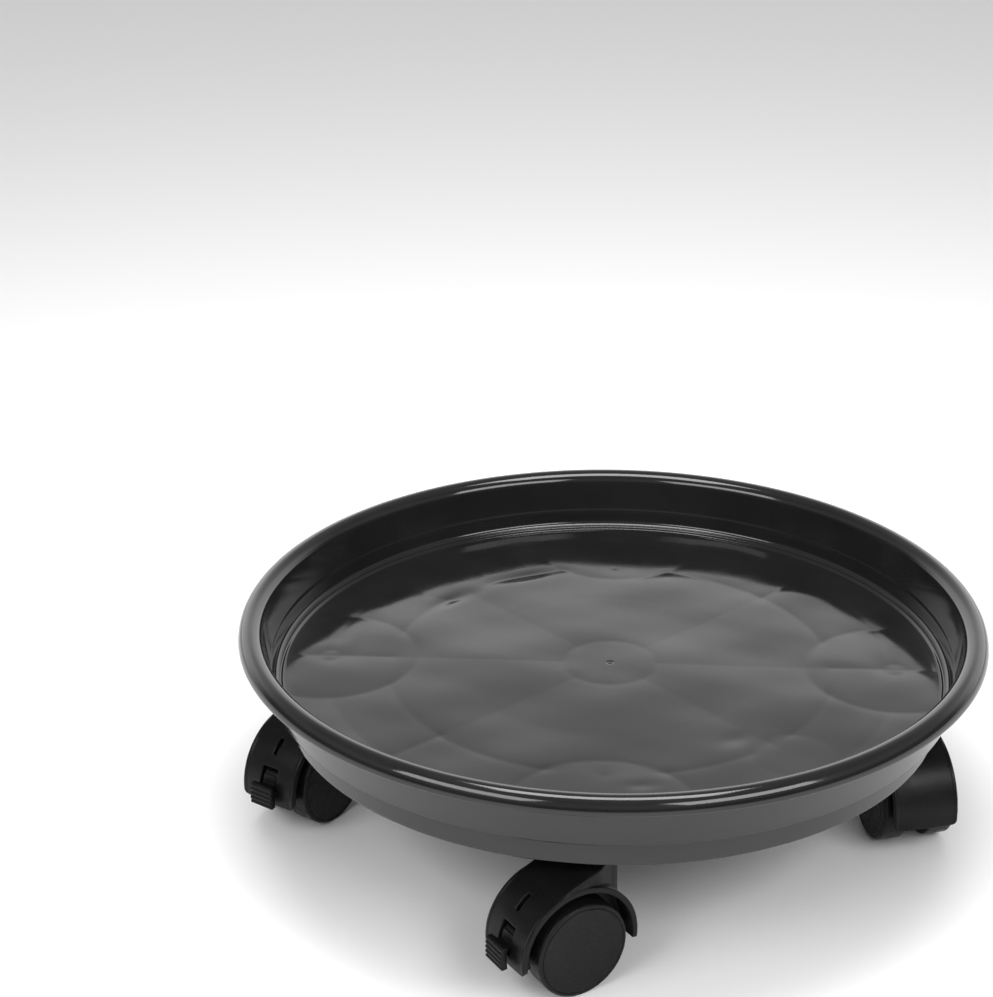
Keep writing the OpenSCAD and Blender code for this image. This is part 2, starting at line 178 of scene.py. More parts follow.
def united(base, cutters, operation="UNION"):
    """base with the cutters joined on or cut away. The cutters are removed."""
    for cutter in cutters:
        mod = base.modifiers.new("join", "BOOLEAN")
        mod.solver = "MANIFOLD"
        mod.operation = operation
        mod.object = cutter
    graph = bpy.context.evaluated_depsgraph_get()
    mesh = bpy.data.meshes.new_from_object(base.evaluated_get(graph))
    old = base.data
    base.modifiers.clear()
    base.data = mesh
    mesh.name = base.name
    bpy.data.meshes.remove(old)
    for cutter in cutters:
        data = cutter.data
        bpy.data.objects.remove(cutter)
        bpy.data.meshes.remove(data)
    return base


# ---- rounded solids from distance fields ---------------------------------------
def round_and(a, b, r):
    """Inside both, with the edge between them rounded."""
    u, v = np.maximum(a + r, 0), np.maximum(b + r, 0)
    return np.minimum(-r, np.maximum(a, b)) + np.hypot(u, v)


def round_or(a, b, r):
    """Inside either, with a fillet between them."""
    u, v = np.maximum(r - a, 0), np.maximum(r - b, 0)
    return np.maximum(r, np.minimum(a, b)) - np.hypot(u, v)


def less(a, b, r):
    """Inside a and outside b, with the edge rounded."""
    return round_and(a, -b, r)


def surface(name, field, low, high, cell):
    """Closed mesh of the surface where field(x, y, z) is zero, by surface nets.
    Each point is then moved onto the surface along the field's slope."""
    low, high = np.array(low, float), np.array(high, float)
    count = np.ceil((high - low) / cell).astype(int) + 1
    axes = [low[i] + cell * np.arange(count[i]) for i in range(3)]
    gx, gy, gz = np.meshgrid(*axes, indexing="ij")
    value = field(gx, gy, gz)
    inside = value < 0
    cells = count - 1
    total = np.zeros(tuple(cells) + (3,))
    hits = np.zeros(tuple(cells), int)
    corner_sets = [(axis, a, b) for axis in range(3) for a in (0, 1) for b in (0, 1)]
    for axis, a, b in corner_sets:
        others = [i for i in range(3) if i != axis]
        start = [0, 0, 0]
        start[others[0]], start[others[1]] = a, b
        stop = list(start)
        stop[axis] = 1
        near = tuple(slice(start[i], start[i] + cells[i]) for i in range(3))
        far = tuple(slice(stop[i], stop[i] + cells[i]) for i in range(3))
        crossed = inside[near] != inside[far]
        va, vb = value[near], value[far]
        share = np.where(crossed, va / np.where(crossed, va - vb, 1), 0)
        for i in range(3):
            offset = share if i == axis else start[i]
            total[..., i] += np.where(crossed, offset, 0)
        hits += crossed
    used = hits > 0
    index = -np.ones(tuple(cells), int)
    index[used] = np.arange(used.sum())
    where = np.argwhere(used)
    points = low + cell * (where + total[used] / hits[used][:, None])
    faces = []
    for axis in range(3):
        b, c = (axis + 1) % 3, (axis + 2) % 3
        near = [slice(None)] * 3
        far = [slice(None)] * 3
        near[axis], far[axis] = slice(0, cells[axis]), slice(1, cells[axis] + 1)
        crossed = inside[tuple(near)] != inside[tuple(far)]
        leaving = inside[tuple(near)]
        spots = np.argwhere(crossed)
        keep = (spots[:, b] > 0) & (spots[:, c] > 0)
        keep &= (spots[:, b] < cells[b]) & (spots[:, c] < cells[c])
        spots = spots[keep]
        out = leaving[tuple(spots.T)]
        quad = []
        for db, dc in ((-1, -1), (0, -1), (0, 0), (-1, 0)):
            at = spots.copy()
            at[:, b] += db
            at[:, c] += dc
            quad.append(index[tuple(at.T)])
        quad = np.stack(quad, 1)
        quad[~out] = quad[~out][:, ::-1]
        faces.append(quad)
    faces = np.concatenate(faces)
    h = cell * 0.05
    for _ in range(4):
        x, y, z = points.T
        f = field(x, y, z)
        grad = np.stack([(field(x + h, y, z) - field(x - h, y, z)) / (2 * h),
                         (field(x, y + h, z) - field(x, y - h, z)) / (2 * h),
                         (field(x, y, z + h) - field(x, y, z - h)) / (2 * h)], 1)
        step = -f[:, None] * grad / np.maximum((grad ** 2).sum(1), 0.05)[:, None]
        size = np.linalg.norm(step, axis=1)
        step *= np.minimum(1, cell * 0.4 / np.maximum(size, 1e-9))[:, None]
        points = points + step
    return mesh_object(name, points, faces, smooth_deg=0)


# ---- tray ----------------------------------------------------------------------
# floor, and the shelf round it
SHELF_Z = FLOOR_Z + 1.3
SHELF_R = 178.0
FLOOR_END_R = SHELF_R - 1.0
STEP_W = 1.6
FLOOR_PITCH = 1.35
GATE_PITCHES = [0, 0.3, 0.6, 0.9, 1.2, 1.5, 1.8, 2.2, 2.7, 3.4, 4.4, 5.6]
WALL_T = 2.4
FLOOR_LOW_Z = FLOOR_Z - WALL_T
SHELF_LOW_Z = SHELF_Z - 1.9
# wall, and the faint crease in it
DISH_R = 182.0
COVE_R = 3.2
WALL_LEAN = 11.5
CREASE_Z, CREASE_T = RIM_TOP_Z - 22, 0.24
CREASE_BLEND = 0.9
# rolled lip
LIP_R = 7.0
LIP_OUT_W, LIP_OUT_H = 6.5, 7.6
FOOT_R = 1.0
RIM_IN_R = RIM_R - 10
RIM_LOW_Z = RIM_TOP_Z - 8.2
RIM_FACE_T = 3.6
GROOVE_FILLET = 1.2
# skirt, ribs and stem sockets under the floor
SKIRT_R = 176.8
SKIRT_Z = 69.8
SKIRT_T = 2.2
SKIRT_TIP = 0.7
UNDER_FILLET = 1.0
RIB_Z = 72.4
RIB_T = 1.8
RIB_TIP, RIB_FLARE, RIB_DRAFT = 0.55, 0.7, 0.12
RING_A_R, RING_B_R, RING_C_R = 25.5, 79.8, 120.2
PAD_R = 48.0
EYE_R, EYE_AT = 20.8, 133.5
EYE_ANGLES = (math.radians(-45), math.radians(135))
SOCKET_R = 10.0
SOCKET_Z = 66.2
SOCKET_EDGE, SOCKET_FLARE = 0.8, 1.2
BORE_R = 5.75
BORE_TOP_Z = 82.4
SPOKES = 8
TRAY_SEGMENTS = 720
OVERLAP = 0.4
STEM_ANGLES = [stem_angle(n) for n in CASTERS]


def around(radius, angles):
    """Points at the radius, one for each angle in radians."""
    return [(radius * math.cos(a), radius * math.sin(a)) for a in angles]


def rib_distances(x, y):
    """Distance from each rib's middle line to the points, in the plane of the floor."""
    r = np.hypot(x, y)
    a = np.arctan2(y, x)
    eye = np.minimum.reduce([np.hypot(x - u, y - v) for u, v in around(EYE_AT, EYE_ANGLES)])
    pad = np.minimum.reduce([np.hypot(x - u, y - v) for u, v in around(STEM_AT, STEM_ANGLES)])
    out_eye = np.maximum(EYE_R - eye, 0)
    step = 2 * math.pi / SPOKES
    off = np.abs((a + step / 2) % step - step / 2)
    spoke = np.hypot(r * np.sin(off), np.maximum(RING_A_R - r, 0))
    return {
        "ring_a": np.abs(r - RING_A_R),
        "ring_b": np.abs(r - RING_B_R),
        "ring_c": np.hypot(np.abs(r - RING_C_R), np.maximum(out_eye, np.maximum(PAD_R - pad, 0))),
        "ring_d": np.abs(r - STEM_AT),
        "spoke_in": np.hypot(spoke, np.maximum(r - RING_C_R, 0)),
        "spoke_out": np.hypot(spoke, np.maximum(out_eye, np.maximum(RING_C_R - r, 0))),
        "eye": np.abs(eye - EYE_R),
        "pad": np.abs(pad - PAD_R),
        "socket": np.abs(pad - SOCKET_R * 0.6)}


# depth and reach of the sink mark over each kind of rib, and how rounded its bottom is
SINK_DEPTH = {"ring_a": 0.06, "ring_b": 0.015, "ring_c": 0.15, "ring_d": 0.08,
              "spoke_in": 0.05, "spoke_out": 0.13, "eye": 0.05, "pad": 0.14, "socket": 0.12}
SINK_WIDTH = {"ring_a": 3.0, "ring_b": 4.0, "ring_c": 5.0, "ring_d": 4.0,
              "spoke_in": 7.0, "spoke_out": 4.5, "eye": 4.0, "pad": 5.0, "socket": 4.5}
SINK_TIP = 0.7
# waves: radians a millimetre, direction, phase and height
WAVES = [(0.052, 0.3, 0.9, 0.13), (0.047, 1.4, 2.2, 0.13), (0.083, 2.5, 4.1, 0.10),
         (0.097, 0.9, 5.3, 0.08), (0.16, 2.0, 1.7, 0.03), (0.19, 0.1, 3.3, 0.022),
         (0.26, 1.2, 0.4, 0.008)]
# dents: place, reach along and across the circle, and depth
DENTS = [((-93, 74), 12, 5, 0.40), ((-53, 107), 17, 5, 0.42), ((66, -80), 9, 6, 0.2),
         ((18, -129), 8, 4, 0.16), ((-139, 8), 16, 6, 0.12), ((146, 6), 15, 6, 0.12)]
GATE_R, GATE_W, GATE_DEPTH = 1.3, 0.5, 0.25
RELIEF_FADE = 4


def floor_relief(x, y):
    """Height of the moulded floor's surface about its nominal plane, in millimetres: sink
    marks over the ribs, slight waves and dents between them, and the gate mark."""
    r = np.hypot(x, y)
    z = np.zeros_like(r)
    for name, d in rib_distances(x, y).items():
        z -= SINK_DEPTH[name] * np.exp((SINK_TIP - np.hypot(d, SINK_TIP)) / SINK_WIDTH[name])
    for k, turn, phase, height in WAVES:
        z += height * np.sin(k * (x * math.cos(turn) + y * math.sin(turn)) + phase)
    for (cx, cy), along, across, depth in DENTS:
        away = math.hypot(cx, cy)
        radial = ((x - cx) * cx + (y - cy) * cy) / away
        tangent = ((y - cy) * cx - (x - cx) * cy) / away
        z -= depth * np.exp(-(tangent / along) ** 2 - (radial / across) ** 2)
    fade = np.clip((FLOOR_END_R - r) / RELIEF_FADE, 0, 1)
    z = z * fade * fade * (3 - 2 * fade)
    z -= GATE_DEPTH * np.exp(-((r - GATE_R) / GATE_W) ** 2)
    return z


def tray_profile():
    """Half section of the dish and skirt, anticlockwise from the middle of the floor's top."""
    return floor_top() + wall_top() + wall_under() + skirt_section()


def floor_top():
    """The floor, with points close together at the gate mark, and its soft step to the shelf."""
    points = [(r, FLOOR_Z) for r in GATE_PITCHES]
    points += [(r, FLOOR_Z) for r in np.arange(7, FLOOR_END_R - 0.4, FLOOR_PITCH)]
    for t in np.linspace(0, 1, 9):
        rise = t * t * (3 - 2 * t)
        points.append((FLOOR_END_R + STEP_W * t, FLOOR_Z + (SHELF_Z - FLOOR_Z) * rise))
    return points


def wall_top():
    """From the shelf up the wall and over the lip to its foot."""
    crown = RIM_R - LIP_OUT_W
    lip = arc(crown, RIM_TOP_Z - LIP_R, LIP_R, 180 - WALL_LEAN, 90, 34)
    points = arc(DISH_R - COVE_R, SHELF_Z + COVE_R, COVE_R, -88, -WALL_LEAN, 14)
    (r0, z0), (r1, z1) = points[-1], lip[0]
    for t in np.linspace(0.04, 0.96, 40):
        z = z0 + (z1 - z0) * t
        step = np.clip((CREASE_Z - z) / CREASE_BLEND + 0.5, 0, 1) * min(1, t / 0.2)
        points.append((r0 + (r1 - r0) * t - CREASE_T * step, z))
    points += lip
    points += [(crown + LIP_OUT_W * q, RIM_TOP_Z - LIP_OUT_H + LIP_OUT_H * h)
               for q, h in arc(0, 0, 1, 87, 6, 27)]
    return points + arc(RIM_R - FOOT_R - 0.04, RIM_LOW_Z + FOOT_R, FOOT_R, -15, -100, 8)


def wall_under():
    """From the lip's foot through the groove behind it and down the wall to the shelf."""
    inner = RIM_R - RIM_FACE_T
    roof = RIM_TOP_Z - WALL_T
    f = GROOVE_FILLET
    points = [(inner + 0.9, RIM_LOW_Z + 0.05), (inner + 0.3, RIM_LOW_Z + 0.4),
              (inner, RIM_LOW_Z + 1.1), (inner, RIM_LOW_Z + 2.2)]
    points += arc(inner - f, roof - f, f, 0, 90, 6)
    points += arc(RIM_IN_R + WALL_T + f, roof - f, f, 90, 165, 6)
    high = (RIM_IN_R + WALL_T, roof - 3.2)
    low = (DISH_R + WALL_T, SHELF_LOW_Z + UNDER_FILLET)
    for t in np.linspace(0.05, 0.97, 8):
        points.append((high[0] + (low[0] - high[0]) * t, high[1] + (low[1] - high[1]) * t))
    return points + arc(low[0] - UNDER_FILLET, low[1], UNDER_FILLET, -15, -90, 6)


def skirt_section():
    """From under the shelf round the skirt to the middle of the floor's underside."""
    points = [(SKIRT_R + 1.8, SHELF_LOW_Z), (SKIRT_R + 0.9, SHELF_LOW_Z - 0.1),
              (SKIRT_R + 0.35, SHELF_LOW_Z - 0.5), (SKIRT_R + 0.1, SHELF_LOW_Z - 1.2)]
    for t in np.linspace(0.15, 0.9, 4):
        points.append((SKIRT_R + 0.05 * (1 - t), SHELF_LOW_Z + (SKIRT_Z + 0.8 - SHELF_LOW_Z) * t))
    inner = SKIRT_R - SKIRT_T
    points += arc(SKIRT_R - SKIRT_TIP, SKIRT_Z + SKIRT_TIP, SKIRT_TIP, 0, -90, 5)
    points += arc(inner + SKIRT_TIP, SKIRT_Z + SKIRT_TIP, SKIRT_TIP, -90, -180, 5)
    points += [(inner, FLOOR_LOW_Z - 4), (inner, FLOOR_LOW_Z - 1.2)]
    points += arc(inner - UNDER_FILLET, FLOOR_LOW_Z - UNDER_FILLET, UNDER_FILLET, 10, 90, 5)
    return points + [(r, FLOOR_LOW_Z) for r in (172, 150, 110, 60, 20, 0)]


def rib_outline():
    """Cross-section of a rib: across, up; with a rounded foot and flared root."""
    half, tip, flare = RIB_T / 2, RIB_TIP, RIB_FLARE
    side = [(half + flare, FLOOR_LOW_Z + OVERLAP), (half + flare, FLOOR_LOW_Z),
            (half + 0.35 * flare, FLOOR_LOW_Z - 0.15 * flare),
            (half + 0.15 * flare, FLOOR_LOW_Z - 0.35 * flare), (half, FLOOR_LOW_Z - flare)]
    side += arc(half - tip - RIB_DRAFT, RIB_Z + tip, tip, 0, -90, 4)
    return side + [(-x, z) for x, z in reversed(side)]


def ring_rib(name, radius, at=(0, 0), segments=240):
    verts, faces = lathe([(radius + x, z) for x, z in rib_outline()], segments)
    verts = [(x + at[0], y + at[1], z) for x, y, z in verts]
    return mesh_object(name, verts, faces)


def bar(name, outline, angle, start, end):
    """The outline (across, up) drawn out along a radius at the angle, from start to end."""
    c, s = math.cos(angle), math.sin(angle)
    n = len(outline)
    verts = [(r * c - x * s, r * s + x * c, z) for r in (start, end) for x, z in outline]
    faces = [(i, (i + 1) % n, n + (i + 1) % n, n + i) for i in range(n)]
    faces += [tuple(range(n - 1, -1, -1)), tuple(range(n, 2 * n))]
    return mesh_object(name, verts, faces)


def cylinder(name, radius, z0, z1, at=(0, 0), segments=96):
    verts, faces = lathe([(0, z1), (0, z0), (radius, z0), (radius, z1)], segments)
    return mesh_object(name, [(x + at[0], y + at[1], z) for x, y, z in verts], faces)


def socket(name, at):
    """Boss for a caster's stem, flared where it meets the floor."""
    edge, flare = SOCKET_EDGE, SOCKET_FLARE
    top = FLOOR_LOW_Z + OVERLAP
    profile = [(0, top), (0, SOCKET_Z)]
    profile += arc(SOCKET_R - edge, SOCKET_Z + edge, edge, -90, 0, 6)
    profile += arc(SOCKET_R + flare, FLOOR_LOW_Z - flare, flare, 180, 90, 6)
    profile += [(SOCKET_R + flare, top)]
    verts, faces = lathe(profile, 128)
    return mesh_object(name, [(x + at[0], y + at[1], z) for x, y, z in verts], faces)


def spoke_ribs(reach):
    """Straight ribs from the middle ring to the skirt, broken where they cross an eye."""
    ribs = []
    for i in range(SPOKES):
        a = 2 * math.pi * i / SPOKES
        hit_eye = any(abs(math.remainder(a - e, 2 * math.pi)) < 0.01 for e in EYE_ANGLES)
        spans = [(RING_A_R, reach)]
        if hit_eye:
            spans = [(RING_A_R, EYE_AT - EYE_R), (EYE_AT + EYE_R, reach)]
        ribs += [bar(f"rib_{i}_{k}", rib_outline(), a, *span) for k, span in enumerate(spans)]
    return ribs


def broken_ring(stems, eyes):
    """The third ring, left out inside the pads and eyes."""
    low = RIB_Z - 2
    blocks = [cylinder(f"block_{i}", PAD_R, low, FLOOR_Z, p, 160) for i, p in enumerate(stems)]
    blocks += [cylinder(f"eye_block_{i}", EYE_R, low, FLOOR_Z, p) for i, p in enumerate(eyes)]
    return united(ring_rib("ring_c", RING_C_R), blocks, "DIFFERENCE")


def pad_ribs(stems, reach):
    """The rings round the sockets, cut off at the skirt."""
    ribs = []
    for i, p in enumerate(stems):
        inside = cylinder("inside", reach, RIB_Z - 2, FLOOR_Z, segments=TRAY_SEGMENTS)
        ribs.append(united(ring_rib(f"pad_{i}", PAD_R, p), [inside], "INTERSECT"))
    return ribs


def make_tray():
    verts, faces = lathe(tray_profile(), TRAY_SEGMENTS)
    verts = np.array(verts)
    r = np.hypot(verts[:, 0], verts[:, 1])
    top = (verts[:, 2] > FLOOR_Z - 0.5) & (r < FLOOR_END_R + 0.1)
    verts[top, 2] += floor_relief(verts[top, 0], verts[top, 1])
    tray = mesh_object("tray_shell", verts, faces)
    reach = SKIRT_R - SKIRT_T / 2
    stems = around(STEM_AT, STEM_ANGLES)
    eyes = around(EYE_AT, EYE_ANGLES)
    ribs = [ring_rib("ring_a", RING_A_R), ring_rib("ring_b", RING_B_R, segments=360),
            ring_rib("ring_d", STEM_AT, segments=480)]
    ribs += spoke_ribs(reach)
    ribs += [broken_ring(stems, eyes)]
    ribs += pad_ribs(stems, reach)
    ribs += [ring_rib(f"eye_{i}", EYE_R, p, 160) for i, p in enumerate(eyes)]
    ribs += [socket(f"socket_{i}", p) for i, p in enumerate(stems)]
    tray = united(tray, ribs)
    bores = [cylinder(f"bore_{i}", BORE_R, SOCKET_Z - 3, BORE_TOP_Z, p)
             for i, p in enumerate(stems)]
    tray = united(tray, bores, "DIFFERENCE")
    shade(tray.data, 32)
    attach(tray, "tray")
    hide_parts("tray")
    return tray


# ---- caster hood -----------------------------------------------------------------
TRAIL = (Vector(JOINTS["roll_front_a"]["pos_m"][:2])
         - Vector(JOINTS["swivel_front"]["pos_m"][:2])).length / MM
# barrel over the wheels, with a bead along its edges
HOOD_R = 32.5
HOOD_T = 2.6
HOOD_IN_R = HOOD_R - HOOD_T
HOOD_HALF = 17.5
HOOD_CROWN = 0.5
HOOD_CORNER_R = 4.0
BEAD_W, BEAD_H = 1.8, 0.4
REAR, FRONT = math.radians(10), math.radians(8)
# web and hub between the wheels, and the bores
WEB_HALF = 6.2
HUB_R = 7.0
AXLE_R = 3.0
RUN_GAP = 0.05
STEM_LOW_R = 4.0
STEM_LOW_Z = 35.6 - WHEEL_R
# neck round the stem, and the crest that rises to it
NECK_R = 7.0
NECK_TOP = 64.4 - WHEEL_R
NECK_LOW = 35.0 - WHEEL_R
CREST = math.radians(52)
CREST_R = (NECK_TOP - HOOD_R * math.sin(CREST)) / (1 - math.sin(CREST))
CREST_AT = ((HOOD_R - CREST_R) * math.cos(CREST), (HOOD_R - CREST_R) * math.sin(CREST))
CREST_LOW_Z = 10
SHOULDER_X = 15.0
SHOULDER_SOFT = 4.0
# the brake's pivot, its window and the slot above it
PIVOT_AT, PIVOT_DEG, PIVOT_R = 28.8, 19.5, 1.5
PIVOT = (PIVOT_AT * math.cos(math.radians(PIVOT_DEG)),
         PIVOT_AT * math.sin(math.radians(PIVOT_DEG)))
PIVOT_HALF = 9.3
LUG_R = 3.1
ARM_HALF = 4.4
SWEEP_R = 24.7
SWEEP_LOW = -12
WINDOW_LOW, WINDOW_HIGH = 1.5, 27.0
SLOT_HALF = 1.4
SLOT_LOW, SLOT_HIGH, SLOT_DEPTH = 40, 57, 2.4
HOOD_CELL = 0.5
AXLE = Matrix.Translation((TRAIL * MM, 0, WHEEL_R * MM))


def crest_field(x, z, w):
    """The part that rises from the barrel's back to the neck and narrows towards it."""
    arch = np.hypot(x - CREST_AT[0], z - CREST_AT[1]) - CREST_R
    left_of_ray = x * math.sin(CREST) - z * math.cos(CREST)
    side = np.maximum(arch, left_of_ray)
    side = round_and(side, z - NECK_TOP, 1.6)
    side = round_and(side, -x - TRAIL - NECK_R, 1.0)
    side = np.maximum(side, CREST_LOW_Z - z)
    reach = math.hypot(SHOULDER_X, HOOD_HALF)
    touch = math.atan2(HOOD_HALF, SHOULDER_X) + math.acos(NECK_R / reach)
    plan = (x + TRAIL) * math.cos(touch) + w * math.sin(touch) - NECK_R
    plan = round_and(plan, w - HOOD_HALF + 0.5, SHOULDER_SOFT)
    return round_and(side, plan, 1.3)


def hood_field(braked):
    """Distance field of a hood, in millimetres about its axle: x trails, y is across."""
    def field(x, y, z):
        w = np.abs(y)
        rho = np.hypot(x, z)
        from_stem = np.hypot(x + TRAIL, y)
        crown = HOOD_CROWN * (1 - np.minimum(w / HOOD_HALF, 1) ** 2)
        barrel = round_and(rho - HOOD_R - crown, w - HOOD_HALF, 0.8)
        bead_mid = (HOOD_IN_R + HOOD_R + BEAD_H) / 2
        bead_half = (HOOD_R + BEAD_H - HOOD_IN_R) / 2
        bead = round_and(np.abs(rho - bead_mid) - bead_half,
                         np.abs(w - HOOD_HALF + BEAD_W / 2) - BEAD_W / 2, 0.35)
        neck = round_and(from_stem - NECK_R, np.maximum(z - NECK_TOP, NECK_LOW - z), 0.5)
        wheel_room = np.maximum(rho - HOOD_IN_R, WEB_HALF - w)
        body = np.minimum(barrel, crest_field(x, z, w))
        body = round_or(body, neck, 1.2)
        body = less(body, wheel_room, 0.5)
        body = round_or(body, bead, 0.5)
        body = less(body, wheel_room, 0.35)
        # open below, with the rear corners rounded
        above_rear = x * math.sin(REAR) + z * math.cos(REAR)
        above_front = -x * math.sin(FRONT) + z * math.cos(FRONT)
        body = less(body, np.maximum(above_rear, above_front), 0.6)
        corner = round_and(w - HOOD_HALF - 0.1, -above_rear, HOOD_CORNER_R)
        body = np.maximum(body, np.where(x > 4, corner, -9))
        body = round_or(body, round_and(rho - HUB_R, w - WEB_HALF, 0.5), 1.0)
        if braked:
            body = braked_field(body, x, z, w, rho)
        body = less(body, rho - AXLE_R, 0.2)
        stem = np.maximum(from_stem - STEM_LOW_R - RUN_GAP, STEM_LOW_Z - z)
        return less(body, stem, 0.3)
    return field


def sector_field(x, z, a0, a1):
    """Distance field of the wedge about the axle between two angles, in degrees."""
    a0, a1 = math.radians(a0), math.radians(a1)
    return np.maximum(x * math.sin(a0) - z * math.cos(a0), z * math.cos(a1) - x * math.sin(a1))


def braked_field(body, x, z, w, rho):
    """The hood's openings and lugs for the brake."""
    from_pivot = np.hypot(x - PIVOT[0], z - PIVOT[1])
    lug = round_and(from_pivot - LUG_R,
                    np.maximum(w - PIVOT_HALF - 0.3, WEB_HALF + 0.2 - w), 0.3)
    body = round_or(body, lug, 0.4)
    window = np.maximum(sector_field(x, z, WINDOW_LOW, WINDOW_HIGH), w - ARM_HALF - 0.8)
    way = np.maximum(sector_field(x, z, SWEEP_LOW, WINDOW_HIGH), rho - HOOD_IN_R)
    way = np.maximum(way, w - WEB_HALF - 0.2)
    body = less(body, np.maximum(np.minimum(window, way), SWEEP_R - rho), 0.5)
    pin = np.maximum(from_pivot - PIVOT_R - RUN_GAP, w - PIVOT_HALF - 0.2)
    body = less(body, pin, 0.1)
    slot = np.maximum(sector_field(x, z, SLOT_LOW, SLOT_HIGH), HOOD_R - SLOT_DEPTH - rho)
    return less(body, np.maximum(slot, w - SLOT_HALF), 0.4)


def make_hood(kind):
    low = (-TRAIL - NECK_R - 4, -HOOD_HALF - 2, -14)
    high = (HOOD_R + 3, HOOD_HALF + 2, NECK_TOP + 2)
    return surface("hood_" + kind, hood_field(kind == "braked"), low, high, HOOD_CELL)


def place(obj, name, body, node):
    """Sets a piece drawn about its axle into the named caster, in place of its CAD node."""
    obj.matrix_world = caster_frame(name) @ AXLE
    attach(obj, body)
    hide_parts(node)
    return obj


def copy_of(obj, name):
    """Another object with the same mesh."""
    other = bpy.data.objects.new(name, obj.data)
    scene.collection.objects.link(other)
    return other


# ---- wheel -----------------------------------------------------------------------
WHEEL_OUT, WHEEL_IN = 20.0, 6.7
WHEEL_RIM_T, WHEEL_DISC_T, WHEEL_HUB_R = 3.0, 2.4, 6.0
WHEEL_DOME, WHEEL_BEVEL = 0.25, 1.3
FACE_R = WHEEL_R - 2.6
FACE_RINGS = (2, 5, 8, 12, 16, 19, 21, 21.8)
WHEEL_RIBS = 6
WHEEL_RIB_HALF, WHEEL_RIB_EDGE = 0.7, 0.3


def wheel_profile():
    """Half section of a wheel: radius, and distance from the caster's middle."""
    out, inn, r = WHEEL_OUT, WHEEL_IN, WHEEL_R
    bevel, hub, rim_in = WHEEL_BEVEL, WHEEL_HUB_R, WHEEL_R - WHEEL_RIM_T
    depth = out - WHEEL_DISC_T
    bore = AXLE_R + RUN_GAP
    # slightly domed face, and the fine groove round it
    points = [(0, out)]
    points += [(q, out - WHEEL_DOME * (q / FACE_R) ** 2) for q in FACE_RINGS]
    points += arc(r - 2.75, out - 0.55, 0.3, 90, 10, 4)
    points += [(r - 2.35, out - 0.66), (r - 2.15, out - 0.72), (r - 1.95, out - 0.66)]
    points += arc(r - 1.55, out - 0.6, 0.3, 170, 90, 4)
    # bevel, tread and inner edge
    points += arc(r - bevel, out - 0.3 - bevel, bevel, 84, 0, 12)
    points += [(r, inn + (out - inn) * t) for t in (0.7, 0.5, 0.3, 0.12)]
    points += arc(r - 0.8, inn + 0.8, 0.8, 0, -90, 5)
    # hollow between the rim and the hub, and the bore
    points += arc(rim_in + 0.4, inn + 0.4, 0.4, -90, -180, 3)
    points += [(rim_in, inn + 4)]
    points += arc(rim_in - 1, depth - 1, 1.0, 0, 90, 4)
    points += arc(hub + 1, depth - 1, 1.0, 90, 180, 4)
    points += arc(hub - 0.4, inn + 0.4, 0.4, 0, -90, 3)
    points += [(bore + 0.2, inn), (bore, inn + 0.2), (bore, depth - 0.2), (0, depth - 0.2)]
    return points


def make_wheel():
    """A wheel with its face up and ribs in the hollow behind it."""
    verts, faces = lathe(wheel_profile(), 256)
    wheel = mesh_object("wheel", verts, faces)
    half, edge = WHEEL_RIB_HALF, WHEEL_RIB_EDGE
    low, high = WHEEL_IN + 2, WHEEL_OUT - 1
    outline = [(-half, high), (-half, low + edge), (-half + edge, low), (half - edge, low),
               (half, low + edge), (half, high)]
    start, end = WHEEL_HUB_R - 1, WHEEL_R - WHEEL_RIM_T + 1
    ribs = [bar(f"wheel_rib_{i}", outline, 2 * math.pi * i / WHEEL_RIBS, start, end)
            for i in range(WHEEL_RIBS)]
    wheel = united(wheel, ribs)
    shade(wheel.data, 35)
    return wheel


# ---- toe brake ---------------------------------------------------------------------
TAB_HALF = 7.5
TAB_IN_R, TAB_OUT_R = 35.4, 39.2
TAB_LOW, TAB_HIGH = -7.5, 11.5
RIDGES = 5
RIDGE_R, RIDGE_H = 0.85, 0.7
ARM_LOW = WINDOW_LOW + 2.5
ARM_IN_R = 28.0
SHOE_IN_R, SHOE_OUT_R, SHOE_HALF = 26.5, 28.4, 14.0
SHOE_LOW, SHOE_HIGH = -9, -1
BOSS_R = 2.6
BRAKE_LOW, BRAKE_HIGH = (24, -15, -11), (41, 15, 16)
BRAKE_CELL = 0.3


